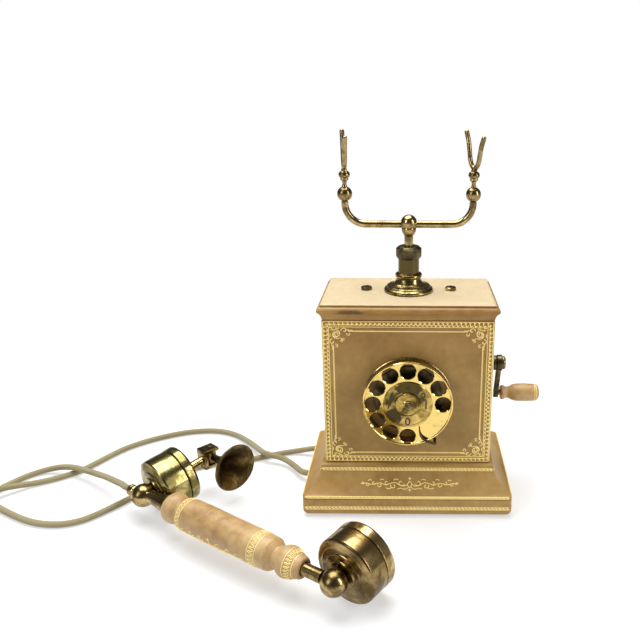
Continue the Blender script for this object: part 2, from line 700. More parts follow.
def coil_points():
    """Winds in on the upper layer and out again on the lower one."""
    wound = []
    start, turns = math.radians(112), 3.0
    upper = int(turns * TURN_POINTS)
    for i in range(upper + 1):
        part = i / upper
        radius = COIL_OUTER - (COIL_OUTER - COIL_INNER) * part
        height = UPPER_LAYER if part < 0.94 else UPPER_LAYER - 0.0028 * (part - 0.94) / 0.06
        angle = start + 2 * math.pi * turns * part
        wound.append((radius, angle, height))
    lower_turns = 3.0 + (152 - 112) / 360 - 0.08
    lower = int(lower_turns * TURN_POINTS)
    turned_so_far = wound[-1][1] + 0.08 * 2 * math.pi
    for i in range(lower + 1):
        part = i / lower
        wound.append((COIL_INNER + (COIL_OUTER - COIL_INNER) * part,
                      turned_so_far + 2 * math.pi * lower_turns * part, LOWER_LAYER))
    return [(COIL_CENTRE[0] + r * math.cos(a), COIL_CENTRE[1] + r * math.sin(a), z) for r, a, z in wound]


line_knots = LINE_ROUTE + coil_points() + [(-0.4318, -0.0915, 0.0034), (-0.4362, -0.0995, 0.0056), PLUG_ENTRY]
behind_ferrule = [tuple(HANDSET @ Vector((-FERRULE_END - far, 0, 0)) * MM) for far in (6, 0.3)]
handset_knots = HANDSET_ROUTE + behind_ferrule


# %% The cord sleeves
def corded(name, knots, step_mm):
    """A braided sleeve along metre knots, with a map that runs in millimetres along it and once round it."""
    sides = 20
    path = smooth_path([np.array(k) / MM for k in knots], step_mm)
    points, faces = swept(path, CORD_DIAMETER / MM / 2, sides)
    mesh = mesh_from(name, (points, faces))
    along = np.concatenate([[0], np.cumsum(np.linalg.norm(np.diff(path, axis=0), axis=1))])
    sleeve = mesh.uv_layers.new(name="sleeve")
    for face in mesh.polygons:
        spots = [(v // sides, v % sides) for v in face.vertices]
        wraps = len(spots) == 4 and {0, sides - 1} <= {s for _, s in spots}
        for loop, (ring, side) in zip(face.loop_indices, spots):
            side = sides if wraps and side == 0 else side
            sleeve.data[loop].uv = (along[ring], side / sides)
    mesh.polygons.foreach_set("use_smooth", [len(f.vertices) == 4 for f in mesh.polygons])
    mesh.materials.append(olive_braid)
    made = in_scene(name, mesh)
    print(name, "is", round(along[-1]), "mm long")
    return made, path * MM, along[-1] * MM


handset_sleeve, handset_path, handset_length = corded("handset_cord_sleeve", handset_knots, 2.5)
line_sleeve, line_path, line_length = corded("line_cord_sleeve", line_knots, 2.5)

# %% [markdown]
# ## The plug
#
# An old wall plug in black phenolic: a rounded body, three flat contacts and a tapered sleeve for the cord.

# %% The plug on the line cord
PLUG = shift(*(np.array(PLUG_ENTRY[:2]) / MM), 0) @ turn(-8, "Z")
plug = piece("line_plug_body", [
    block(-9, 9, -58, -26, 0.3, 14.3, 2.2, PLUG),
    turned([(0, 0.3), (3.2, 0.3), (5.2, 24), (5.2, 28), (0, 28)], 0.5, 32, False,
    PLUG @ aim((0, -1, 0), (0, 0, 7))),
    *[(block(x - 1, x + 1, -70, -57, 4, 9.6, 0.3, PLUG), dull_brass) for x in (-5, 0, 5)],
], phenolic, "base", "line_plug")

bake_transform(handset_sleeve)
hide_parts("handset_cord")
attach(line_sleeve, "base")
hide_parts("line_cord", "line_cord_coil")
print("coil and plug lie to the left of the camera's view, on the same desk")

# %% [markdown]
# ## Light and floor
#
# A big soft light overhead does most of the work, as in a small product studio: it makes the lid pale and the
# faces darker, and its edge draws the long highlights on the brass. Two tall strips stand at the sides. The
# room itself is dim, so that polished metal has something dark to show, and the floor fades into white.


# %% Lights
def soft_light(name, place, target, width, height, power, tint="#ffffff"):
    data = bpy.data.lights.new(name, "AREA")
    data.shape = "RECTANGLE"
    data.size, data.size_y = width, height
    data.energy = power
    data.color = linear(tint)[:3]
    lamp = in_scene(name, data)
    lamp.location = place
    lamp.rotation_euler = (Vector(target) - Vector(place)).to_track_quat("-Z", "Y").to_euler()
    return lamp


soft_light("overhead", (-0.2, 0.25, 1.45), (-0.1, 0.0, 0.0), 1.25, 1.1, 34)
soft_light("front_left", (-1.1, -1.0, 0.95), (0, 0, 0.1), 0.45, 0.9, 8)
soft_light("right_strip", (1.15, -0.6, 0.65), (0, 0, 0.12), 0.3, 1.1, 8.5)

world = bpy.data.worlds.new("dim_room")
bpy.context.scene.world = world
world.use_nodes = True
room = world.node_tree
room.nodes.clear()
seen = node(room, "ShaderNodeLightPath")
dim = node(room, "ShaderNodeBackground", {"Color": linear("#b8b5ae"), "Strength": 0.2})
white = node(room, "ShaderNodeBackground", {"Color": (1, 1, 1, 1), "Strength": 1.0})
either = node(room, "ShaderNodeMixShader", {0: seen.outputs["Is Camera Ray"],
    1: dim.outputs[0], 2: white.outputs[0]})
node(room, "ShaderNodeOutputWorld", {0: either.outputs[0]})
bpy.context.scene.view_settings.view_transform = "Standard"

# %% The floor
floor_finish, floor_tree, floor_shader = new_finish("white_paper")
floor_place = node(floor_tree, "ShaderNodeTexCoord")
floor_reach = node(floor_tree, "ShaderNodeVectorMath", {0: floor_place.outputs["Object"]}, operation="LENGTH")
fade = spread(floor_tree, floor_reach.outputs["Value"], 0.35, 0.8, 0.5, 1.0)
glow = node(floor_tree, "ShaderNodeEmission", {"Color": (1, 1, 1, 1), "Strength": 1.0})
floor_shader.inputs["Base Color"].default_value = (0.93, 0.93, 0.93, 1)
floor_shader.inputs["Roughness"].default_value = 0.8
floor_mix = node(floor_tree, "ShaderNodeMixShader", {0: fade, 1: floor_shader.outputs[0], 2: glow.outputs[0]})
floor_tree.links.new(floor_mix.outputs[0], floor_tree.nodes["Material Output"].inputs["Surface"])
floor_mesh = bpy.data.meshes.new("floor")
floor_mesh.from_pydata([(-6, -6, 0), (6, -6, 0), (6, 6, 0), (-6, 6, 0)], [], [(0, 1, 2, 3)])
floor_mesh.materials.append(floor_finish)
floor = in_scene("floor", floor_mesh)
floor.location = (-0.1, -0.05, -0.0002)

# %% [markdown]
# ## The case
#
# Mouldings are planed in wood and the leather is stretched over them, so their edges are soft. The plinth's
# band has a gilded bead on top; a hollow slope rises from it to a small fascia under the body.

# %% Plinth, body and lid
PLINTH_SPREAD = 19.3
plinth_profile = [(9, 1.8, 2), (16.3, 1.8, 3), (18.3, 2.7, 4), (19.3, 4.8, 4.2), (19.4, 11, 4.2),
    (19.3, 17.0, 4.2), (18.4, 17.7, 3.6), (19.2, 18.5, 4), (19.3, 19.4, 4), (19, 20.3, 4),
    (18.3, 20.7, 3.4), (16.9, 20.9, 2.2), (14.8, 22.4, 1.9), (12.6, 24.5, 1.8), (10.4, 27.1, 1.7),
    (8.4, 29.9, 1.6), (6.4, 33.1, 1.5), (4.8, 36.2, 1.5), (4.3, 36.9, 1.5), (4.3, 41.0, 1.5),
    (3.7, 42.5, 1.5), (2.2, 43.3, 1.5), (-8, 43.3, 1), (-8, 37.3, 1), (9, 18.1, 2), ]
cord_holes = [turned([(0, -3), (4.25, -3), (4.25, 14), (0, 14)], 0, 40, False,
                     aim((1, 0, 0), (-(HALF_WIDTH + PLINTH_SPREAD), y, 8))) for y in (-2, 46)]
piece("plinth_leather", [drilled(moulded(plinth_profile, 0.55),
    cord_holes)], plinth_calf, "base", "base_plinth")

dial_opening = turned([(0, -6), (27, -6), (27, 12), (0, 12)], 0, 72, False,
    aim((0, 1, 0), (0, -HALF_DEPTH, DIAL_Z)))
crank_opening = turned([(0, -6), (5.3, -6), (5.3, 12), (0, 12)], 0, 40, False,
    aim((-1, 0, 0), (HALF_WIDTH, 0, CRANK_Z)))
body_profile = [(0, BODY_FOOT, 1.3), (0, BODY_TOP, 1.3), (-6, BODY_TOP, 0.9), (-6, BODY_FOOT, 0.9)]
piece("case_leather", [drilled(moulded(body_profile, 0.6), [dial_opening,
    crank_opening])], tan_calf, "base", "case_body")

LID_FOOT = BODY_TOP + 0.3
LID_TOP = 188.2
lid_profile = [(-6.4, 168.4, 1), (-6.4, LID_FOOT, 1), (0, LID_FOOT, 1.3), (0.2, LID_FOOT + 1.4, 1.3),
    (0.8, LID_FOOT + 3.3, 1.3), (1.7, LID_FOOT + 4.9, 1.3), (2.9, LID_FOOT + 6.2, 1.5),
    (3.7, LID_FOOT + 6.8, 1.8), (4.0, LID_FOOT + 7.9, 2), (3.8, LID_FOOT + 9.0, 2), (3.0, LID_FOOT + 10.2,
    1.8), (1.8, LID_FOOT + 11.1, 1.6), (0.8, LID_FOOT + 11.4, 1.5), (0.7, LID_FOOT + 11.9, 1.5),
    (1.2, LID_FOOT + 12.3, 1.6), (1.0, LID_FOOT + 13.0, 1.6), (-0.6, LID_TOP, 1.5), ]
lid_holes = [turned([(0, 150), (r, 150), (r, 200), (0, 200)], 0, 40, False, shift(x, y, 0))
             for x, y, r in ((0, 0, 4.2), (-36.9, 3, 2.3), (36.9, 3, 2.3))]
piece("lid_leather", [drilled(moulded(lid_profile, 0.5, False),
    lid_holes)], lid_calf, "base", "lid")

# %% [markdown]
# ## Gold tooling
#
# A bookbinder's tools press gold leaf into the leather: straight fillets, a roll that repeats a leafy vine, a
# row of small scallops inside it, and scrolled corner pieces. The rolled patterns repeat along a path, so one
# geometry-node tree lays a small stamp along any path and turns it to face out of the surface.

# %% The stamps
FOIL_RADIUS = 0.5
FOIL_SINK = 0.14


def line_of(spots, radius=FOIL_RADIUS, sides=4):
    """A thin gilded line through points in the stamp's own plane."""
    return swept([(x, y, -FOIL_SINK) for x, y in spots], radius, sides)


def curl(cx, cy, radius, turns, start, way=1, steps=12):
    """Points of a scroll that winds into its middle."""
    spots = []
    for i in range(steps + 1):
        part = i / steps
        angle = math.radians(start) + way * 2 * math.pi * turns * part
        reach = radius * (1 - 0.82 * part)
        spots.append((cx + reach * math.cos(angle), cy + reach * math.sin(angle)))
    return spots


def stamp_object(name, strokes, radius=FOIL_RADIUS):
    """A stamp outside the scene, which the rolling tree copies along a path."""
    points, faces = [], []
    for stroke in strokes:
        shape = line_of(stroke, radius)
        faces += [tuple(i + len(points) for i in face) for face in shape[1]]
        points += shape[0].tolist()
    mesh = mesh_from(name, (points, faces))
    mesh.polygons.foreach_set("use_smooth", [True] * len(mesh.polygons))
    return bpy.data.objects.new(name, mesh)


# %% Vine and scallop
VINE_PITCH = 3.7
SCALLOP_PITCH = 1.7
vine_stamp = stamp_object("vine_stamp", [
    [(-2.3, -0.7), (-1.2, 0.55), (0, 0.75), (1.2, -0.55), (2.3, -0.7)],
    [(-0.9, 0.5), (-1.6, 1.0), (-0.5, 1.25)],
    [(1.1, -0.5), (0.3, -1.1), (1.5, -1.25)],
])
scallop_stamp = stamp_object("scallop_stamp", [[(-1.1, -0.3), (-0.5, 0.5),
    (0.1, 0.75), (0.7, 0.4), (1.1, -0.3)]], 0.46)


# %% The rolling tree
def rolling_tree():
    tree = bpy.data.node_groups.new("rolled_tooling", "GeometryNodeTree")
    for name, kind in (("Path", "NodeSocketGeometry"), ("Pitch", "NodeSocketFloat"),
            ("Stamp", "NodeSocketObject"),
                       ("Outwards", "NodeSocketVector"), ("Foil", "NodeSocketMaterial")):
        tree.interface.new_socket(name, in_out="INPUT", socket_type=kind)
    tree.interface.new_socket("Tooling", in_out="OUTPUT", socket_type="NodeSocketGeometry")
    given = node(tree, "NodeGroupInput")
    path = node(tree, "GeometryNodeMeshToCurve", {"Mesh": given.outputs["Path"]})
    spots = node(tree, "GeometryNodeCurveToPoints", {"Curve": path.outputs[0],
        "Length": given.outputs["Pitch"]},
                 mode="LENGTH")
    along = node(tree, "FunctionNodeAlignRotationToVector", {"Vector": spots.outputs["Tangent"]}, axis="X")
    facing = node(tree, "FunctionNodeAlignRotationToVector",
                  {"Rotation": along.outputs[0], "Vector": given.outputs["Outwards"]}, axis="Z", pivot_axis="X")
    stamp = node(tree, "GeometryNodeObjectInfo", {"Object": given.outputs["Stamp"]})
    pressed = node(tree, "GeometryNodeInstanceOnPoints",
                   {"Points": spots.outputs["Points"], "Instance": stamp.outputs["Geometry"],
                    "Rotation": facing.outputs[0]})
    solid = node(tree, "GeometryNodeRealizeInstances", {0: pressed.outputs[0]})
    gilded = node(tree, "GeometryNodeSetMaterial", {"Geometry": solid.outputs[0],
        "Material": given.outputs["Foil"]})
    node(tree, "NodeGroupOutput", {"Tooling": gilded.outputs[0]})
    return tree


ROLLING = rolling_tree()


# %% [markdown]
# The tree is run once for each line of tooling. Its result is read back as a plain shape, so the modifier and
# the path can go before the piece is made.


# %% Rolling a line
def rolled(path_mm, is_ring, stamp, pitch_mm, outwards):
    """Runs the tree once and gives the tooling back as a shape in millimetres."""
    mesh = bpy.data.meshes.new("path")
    count = len(path_mm)
    edges = [(i, (i + 1) % count) for i in range(count if is_ring else count - 1)]
    mesh.from_pydata((np.array(path_mm) * MM).tolist(), edges, [])
    item = in_scene("path", mesh)
    modifier = item.modifiers.new("roll", "NODES")
    modifier.node_group = ROLLING
    values = {"Pitch": pitch_mm * MM, "Stamp": stamp, "Outwards": outwards, "Foil": gold_leaf}
    for socket in ROLLING.interface.items_tree:
        if socket.item_type == "SOCKET" and socket.in_out == "INPUT" and socket.name in values:
            modifier[socket.identifier] = values[socket.name]
    return shape_from(item, MM)


# %% [markdown]
# Each face of the case gets the same design: a vine between two fillets near the edge, a row of scallops
# inside it, and a scrolled rosette in each corner. The design is drawn once in the face's own plane.


# %% The panel design
def rectangle(half_u, half_v):
    return [(-half_u, -half_v), (half_u, -half_v), (half_u, half_v), (-half_u, half_v)]


def lifted(spots, place):
    return [tuple(place @ Vector((u, v, 0))) for u, v in spots]


def corner_piece():
    """Scrolls for the corner where u and v are both at their greatest. Its own corner is at 0, 0."""
    strokes = [curl(-11.0, -11.0, 3.9, 0.95, 45), curl(-11.0, -11.0, 3.9, 0.95, 225), curl(-8.2, -17.0,
        2.4, 0.9, 90, -1), curl(-17.0, -8.2, 2.4, 0.9, 0, 1), curl(-10.9, -20.4, 1.6, 0.8, 60, 1),
        curl(-20.4, -10.9, 1.6, 0.8, 30, -1), curl(-7.2, -7.2, 1.5, 0.8, 45), [(-6.6, -10.6),
        (-6.4, -13.4)], [(-10.6, -6.6), (-13.4, -6.4)], [(-14.2, -14.2), (-15.4, -15.6),
        (-16.8, -15.7), (-16.9, -14.6), (-15.8, -14.2)], [(-14.2, -14.2), (-15.6, -15.4),
        (-15.7, -16.8), (-14.6, -16.9), (-14.2, -15.8)], [(-8.2, -17.6), (-7.5, -19.6), (-8.4, -21.4),
        (-7.7, -23.0)], [(-17.6, -8.2), (-19.6, -7.5), (-21.4, -8.4), (-23.0, -7.7)], [(-9.4, -13.2),
        (-9.0, -11.2), (-11.2, -9.0), (-13.2, -9.4), (-13.4, -11.4), (-11.4, -13.4), (-9.4, -13.2)]]
    return strokes


def panel_tooling(name, half_u, half_v, place, outwards):
    shapes = []
    for inset, radius in ((1.1, 0.42), (5.7, 0.42)):
        ring = rectangle(half_u - inset, half_v - inset)
        for a, b in zip(ring, ring[1:] + ring[:1]):
            shapes.append(swept([(*a, -FOIL_SINK), (*b, -FOIL_SINK)], radius, 4, place=place))
    vine = lifted(rectangle(half_u - 3.45, half_v - 3.45), place)
    shapes.append(rolled(vine, True, vine_stamp, VINE_PITCH, outwards))
    scallops = rectangle(half_u - 9.0, half_v - 9.0)
    for a, b in zip(scallops, scallops[1:] + scallops[:1]):
        a, b = np.array(a), np.array(b)
        way = (b - a) / np.linalg.norm(b - a)
        shapes.append(rolled(lifted([a + way * 14, b - way * 14],
            place), False, scallop_stamp, SCALLOP_PITCH, outwards))
    for side_u in (1, -1):
        for side_v in (1, -1):
            for stroke in corner_piece():
                spots = [(side_u * (half_u + u * 1.12 + 0.4),
                    side_v * (half_v + v * 1.12 + 0.4)) for u, v in stroke]
                shapes.append(swept([(u, v, -FOIL_SINK) for u, v in spots], 0.46, 4, place=place))
    return piece(name, shapes, gold_leaf, "base", sharp=80)


# %% Tooling on the four faces
PANEL_MIDDLE = (BODY_FOOT + BODY_TOP) / 2
PANEL_HALF = (BODY_TOP - BODY_FOOT) / 2
front_plane = shift(0, -HALF_DEPTH, PANEL_MIDDLE) @ turn(90, "X")
back_plane = shift(0, HALF_DEPTH, PANEL_MIDDLE) @ turn(180, "Z") @ turn(90, "X")
left_plane = shift(-HALF_WIDTH, 0, PANEL_MIDDLE) @ turn(-90, "Z") @ turn(90, "X")
right_plane = shift(HALF_WIDTH, 0, PANEL_MIDDLE) @ turn(90, "Z") @ turn(90, "X")
panel_tooling("front_tooling", HALF_WIDTH, PANEL_HALF, front_plane, (0, -1, 0))
panel_tooling("back_tooling", HALF_WIDTH, PANEL_HALF, back_plane, (0, 1, 0))
panel_tooling("left_tooling", HALF_DEPTH, PANEL_HALF, left_plane, (-1, 0, 0))
panel_tooling("right_tooling", HALF_DEPTH, PANEL_HALF, right_plane, (1, 0, 0))


# %% Gilded strips on the plinth and the lid
def strip_tooling(name, offset, middle, half_height, is_level=False, edge=3.0):
    """A vine between two fillets round the case, at one offset and height."""
    shapes = []
    for side in range(4):
        along_x = side % 2 == 0
        half = (HALF_WIDTH if along_x else HALF_DEPTH) + offset - edge
        reach = (HALF_DEPTH if along_x else HALF_WIDTH) + offset
        place = turn(90 * side, "Z") @ shift(0, -reach, middle) @ (UPRIGHT if is_level else turn(90, "X"))
        outwards = (0, 0, 1) if is_level else tuple((turn(90 * side, "Z") @ Vector((0, -1, 0))))
        for v in (-half_height, half_height):
            shapes.append(swept([(-half, v, -FOIL_SINK), (half, v, -FOIL_SINK)], 0.4, 4, place=place))
        shapes.append(rolled(lifted([(-half + 1, 0), (half - 1, 0)],
            place), False, narrow_stamp, 3.2, outwards))
    return piece(name, shapes, gold_leaf, "base", sharp=80)


narrow_stamp = stamp_object("narrow_stamp", [
    [(-1.9, -0.3), (-1.0, 0.45), (0, 0.5), (1.0, -0.4), (1.9, -0.3)],
    [(-0.7, 0.4), (-0.1, -0.5), (0.5, -0.75)],
], 0.44)
strip_tooling("bead_tooling", 19.25, 19.4, 0.95)
strip_tooling("band_tooling", 19.38, 9.0, 1.35)
strip_tooling("fascia_tooling", 4.3, 38.8, 1.25, edge=1.5)

# %% [markdown]
# The front slope carries a spray of scrolls. The slope is hollow, so the spray is drawn flat and each point is
# then laid on the slope's own outline.

# %% The spray on the slope
SLOPE = np.array([(offset, height) for offset, height, _ in plinth_profile[11:18]])
SLOPE_LENGTHS = np.concatenate([[0], np.cumsum(np.hypot(*np.diff(SLOPE, axis=0).T))])


def on_slope(u, v):
    """A point v millimetres up the front slope from its foot."""
    offset = np.interp(v, SLOPE_LENGTHS, SLOPE[:, 0])
    height = np.interp(v, SLOPE_LENGTHS, SLOPE[:, 1])
    return (u, -(HALF_DEPTH + offset), height)


def spray_strokes():
    half = [curl(7.5, 10.2, 3.0, 0.9, 200), curl(14.2, 7.6, 2.6, 0.85, 20, -1), curl(20.2, 10.4, 2.3, 0.85,
        200), curl(26.0, 8.2, 2.1, 0.85, 20, -1), curl(31.4, 10.2, 1.9, 0.8, 200), curl(36.4, 8.8, 1.7, 0.8,
        20, -1), curl(40.8, 10.2, 1.4, 0.8, 200), [(2, 8.6), (5, 7.4), (9, 8.4), (13, 10.4), (17.5, 9.4),
        (21, 8.2), (25, 9.8), (29, 9.6), (33, 8.6), (38, 9.8), (43, 9.4)], [(1.2, 6.2), (4.4, 4.6),
        (7.6, 5.6), (10.6, 4.8)], [(16, 5.8), (18.4, 5.0), (21, 5.9)], [(10, 12.6), (12, 13.4), (14.2, 12.4)],
        [(22.6, 12.6), (24.4, 13.2), (26.2, 12.3)], [(33.4, 12.2), (35, 12.7), (36.4, 12.0)], ]
    middle = [[(0, 2.6), (0, 5.4)], [(-1.6, 4.0), (1.6, 4.0)], [(0, 12.2), (0, 15.2)],
        [(-1.4, 13.8), (1.4, 13.8)], [(0, 6.0), (1.9, 8.4), (0, 11.4), (-1.9, 8.4), (0, 6.0)]]
    return half + [[(-u, v) for u, v in stroke] for stroke in half] + middle


def drawn(stroke, step):
    """A stroke's points, eased into a curve when it has more than two."""
    flat = np.array([(u, v, 0) for u, v in stroke])
    return smooth_path(flat, step) if len(stroke) > 2 else flat


spray_shapes = []
for stroke in spray_strokes():
    laid = [on_slope(u + 2, v + 0.4) for u, v, _ in drawn(stroke, 1.0)]
    spray_shapes.append(swept(laid, 0.36, 5))
piece("slope_spray_tooling", spray_shapes, gold_leaf, "base", sharp=80)
print("tooling pieces:", sum("tooling" in name for name in made_pieces))

# %% [markdown]
# ## Column and cradle
#
# The column is one turning: a stepped flange, a hollow sweep, a bead and a plain tube, under a knurled collar
# nut. The cradle's stem slides in it, and its ball is bored for the bent arm.

# %% The column and its collar
piece("column_turning", [turned([(4.2, 188.5), (20.9, 188.5), (21.4, 189.3), (21.3, 190.2),
    (20.6, 191.2), (19.5, 191.9), (18.9, 192.2), (18.9, 193.0), (18.2, 193.6), (16.4, 193.9),
    (14.4, 194.6), (12.7, 195.8), (11.5, 197.5), (10.8, 199.0), (10.6, 200.0), (10.9, 200.6),
    (11.5, 201.2), (11.8, 202.3), (11.5, 203.5), (10.8, 204.2), (9.6, 204.7), (9.0, 205.1),
    (9.0, 217.4), (4.2, 217.4)], 0.35, 128, True)], column_brass, "base", "column")


def knurl(angles, radius, height):
    return 0.16 * np.cos(angles * 44) if radius > 10.2 and 219.0 < height < 226.2 else 0 * angles


piece("collar_nut", [turned([(4.2, 217.7), (9.9, 217.7), (10.4, 218.3), (10.4, 219.0), (10.8, 219.3),
    (10.8, 225.9), (10.4, 226.2), (9.9, 226.9), (8.6, 227.9), (6.6, 228.5), (4.2, 228.6)], 0.25, 264,
    True, flute=knurl)], dull_brass, "base", "column_collar")

LID_HEAD = 188.5
for side, x in (("left", -36.9), ("right", 36.9)):
    slot_cut = block(-0.5, 0.5, -6, 6, LID_HEAD + 2.0, LID_HEAD + 4, 0.05, shift(x, 3, 0) @ turn(25, "Z"))
    head = turned([(0, 160.4), (2, 160.4), (2, LID_HEAD), (4.7, LID_HEAD), (4.8, LID_HEAD + 1.9),
        (4.2, LID_HEAD + 2.5), (0, LID_HEAD + 2.6)], 0.3, 64, False, shift(x, 3, 0))
    piece(f"lid_screw_{side}_head", [drilled(head, [slot_cut])],
        dull_brass if side == "left" else polished_brass, "base", f"lid_screw_{side}", 30)

# %% The cradle: stem, ball, arm, finials and forks
HUB_Z, ARM_Z, POST_X, ARM_BEND = 247.8, 246.6, 54.0, 17.5
piece("cradle_stem_and_ball", [turned([*arc(2.2, 143.1, -90, 0, 6), (2.2, 164.5),
    (6.2, 164.5), (6.2, 168.1), (3.8, 168.1), (3.8, 236.6), (4.3, 237.4), (5.0, 238.6),
    (5.8, 240.2), (6.2, 241.8), (6.2, 243.0), (5.9, 243.7), *arc(7.0, HUB_Z, -35, 90,
    18)], 0.3, 72)], polished_brass, "cradle", "cradle_hub")

bend = [(POST_X - ARM_BEND + ARM_BEND * math.sin(a), 0, ARM_Z + ARM_BEND - ARM_BEND * math.cos(a))
        for a in np.radians(np.linspace(0, 90, 15))]
right_half = [(7, 0, ARM_Z), (20, 0, ARM_Z)] + bend + [(POST_X, 0, 265.5)]
arm_path = [(-x, y, z) for x, y, z in reversed(right_half)] + [(0, 0, ARM_Z)] + right_half
piece("cradle_bent_arm", [swept(arm_path, 3.05, 32)], polished_brass, "cradle", "cradle_arm")

for side, x in (("left", -POST_X), ("right", POST_X)):
    piece(f"finial_{side}_turning", [turned([
        (0, 265.9), (2.6, 265.9), *arc(6.35, 272, -68, 68, 18), (2.2, 278.2), (1.9, 279.2), (1.75, 280.6),
        (1.9, 281.8), (2.4, 282.8), (3.3, 283.6), (3.5, 284.2), (3.3, 284.8), (3.5, 285.3), (4.4, 286.3),
        (4.85, 287.6), (4.7, 288.8), (4.0, 290.1), (3.1, 290.8), (0, 290.8)], 0.2, 64, False, shift(x, 0, 0))],
        polished_brass, "cradle", f"finial_{side}")

FORK_FOOT = 291.1
for side, x, plan in (("left", -POST_X, 101), ("right", POST_X, 122)):
    tines = []
    for reach, height in ((11.8, 31.0), (-11.6, 26.9)):
        knots = [(0, 0, FORK_FOOT + 1.6), (reach * 0.3, 0, FORK_FOOT + height * 0.15),
                 (reach * 0.5, 0, FORK_FOOT + height * 0.3), (reach * 0.62, 0, FORK_FOOT + height * 0.53),
                 (reach * 0.76, 0, FORK_FOOT + height * 0.77), (reach, 0, FORK_FOOT + height)]
        tines.append(swept(smooth_path(knots, 1.2), 2.0, 18, True, shift(x, 0, 0) @ turn(plan, "Z")))
    foot = turned([(0, FORK_FOOT), (2.4, FORK_FOOT), (2.6, FORK_FOOT + 0.7), (2.3, FORK_FOOT + 1.6),
                   (1.7, FORK_FOOT + 2.6), (0, FORK_FOOT + 2.9)], 0.2, 40, False, shift(x, 0, 0))
    piece(f"fork_{side}_tines", tines + [foot], polished_brass,
        f"fork_{side}_rest", f"fork_{side}")

# %% [markdown]
# ## The dial
#
# The finger wheel is a thin brass plate with a rolled rim and ten holes with eased edges, in front of a spun
# cup. The number disc and the cap turn with it, and a small hooked blade stops the finger.

# %% Cup and finger wheel
piece("dial_spun_cup", [turned([
    (35.9, 0.3), (37.7, 0.3), (37.9, 0.9), (37.9, 2.2), (37.2, 2.7), (36.9, 5.8), (36.7, 8.9), (36.5, 9.7),
    (36.2, 10.0), (35.9, 9.7)], 0.2, 160, True, DIAL)], polished_brass, "base", "dial_cup")

HOLE_CIRCLE, DIGIT_CIRCLE, HOLE_STEP = 29.5, 15.2, 30
finger_holes = []
for digit in range(10):
    angle = math.radians(HOLE_STEP * digit)
    at = DIAL @ shift(HOLE_CIRCLE * math.cos(angle), HOLE_CIRCLE * math.sin(angle), 0)
    finger_holes.append(turned([(0, 9), (7.0, 9), (7.0, 11.3), (6.7, 11.7),
        (6.7, 12.5), (7.25, 13.05), (7.25, 16), (0, 16)], 0.0, 72, False, at))
wheel_blank = turned([
    (3.2, 11.2), (36.4, 11.2), (36.6, 10.5), (37.5, 10.5), (38, 11.0), (38, 13.0), (37.4, 13.7), (36.7, 13.7),
    (36.3, 13.3), (36.1, 13.0), (3.2, 13.0)], 0.2, 160, True, DIAL)
piece("finger_wheel_plate", [drilled(wheel_blank, finger_holes)],
    dial_brass, "dial", "finger_wheel", 28)

piece("number_disc_plate", [turned([(3.2, 13.3), (20.7, 13.3), (20.8, 13.6), (20.4, 14.0), (18.9, 14.0),
    (18.6, 13.85), (3.2, 13.85)], 0.12, 120, True, DIAL)], disc_brass, "dial", "number_disc")
piece("centre_cap_turning", [turned([(1.7, 14.3), (10.8, 14.3), (11, 14.8),
    (10.6, 15.4), (9.6, 15.6), (8.8, 15.3), (4.6, 15.1), (3.9, 15.6), (1.7, 15.6)],
    0.15, 96, True, DIAL)], disc_brass, "dial", "dial_centre_cap")
screw_slot = block(-0.35, 0.35, -4, 4, 16.4, 18, 0.02, DIAL @ turn(40, "Z"))
screw_blank = turned([(0, 8), (1.3, 8), (1.3, 15.9), (2.4, 15.9),
    (2.5, 16.4), (2.0, 17.0), (0, 17.25)], 0.15, 48, False, DIAL)
piece("centre_screw_head", [drilled(screw_blank, [screw_slot])],
    dull_brass, "dial", "dial_centre_screw", 30)


# %% The digits
DIGIT_HEIGHT = 7.0


def digit_shape(text, height_mm, thickness_mm, place):
    words = bpy.data.curves.new("digit", "FONT")
    words.body = text
    words.size = height_mm * 1.42
    words.extrude = thickness_mm / 2
    words.offset = 0.14
    words.align_x = "CENTER"
    words.align_y = "CENTER"
    words.resolution_u = 4
    points, faces = shape_from(in_scene("digit", words))
    middle = (points.min(axis=0) + points.max(axis=0)) / 2
    return moved((points - middle, faces), place)


digits = []
for k in range(10):
    angle = math.radians(HOLE_STEP * k)
    spot = DIAL @ shift(DIGIT_CIRCLE * math.cos(angle), DIGIT_CIRCLE * math.sin(angle), 13.9)
    digits.append(digit_shape(str((k + 1) % 10), DIGIT_HEIGHT, 0.12, spot))
piece("dial_digits", digits, black_enamel, "dial", sharp=30)

# %% The finger stop
stop_blade = [(24.2, -34.0), (24.4, -35.0), (23.7, -35.7), (22.4, -35.8), (19.4, -34.9),
    (15.4, -33.4), (12.1, -31.0), (10.2, -27.7), (9.5, -24), (9.4, -21.2), (9.9, -20.8),
    (10.4, -21.8), (11.1, -26.2), (12.7, -29.2), (15.6, -31.3), (19.4, -32.9), (22.6, -33.6)]
piece("finger_stop_blade", [
    slab(stop_blade, 14.8, 16.1, 0.25, DIAL),
    turned([(0, 0.3), (1.3, 0.3), (1.3, 15.2), (0, 15.3)], 0.2, 32, False, DIAL @ shift(23.2, -34.9, 0)),
], dull_brass, "base", "finger_stop")

# %% [markdown]
# ## The crank
#
# A bush in the side carries a short shaft. The arm has an eye at each end and leans in towards the case, and
# a leather-covered handle spins on its pin.

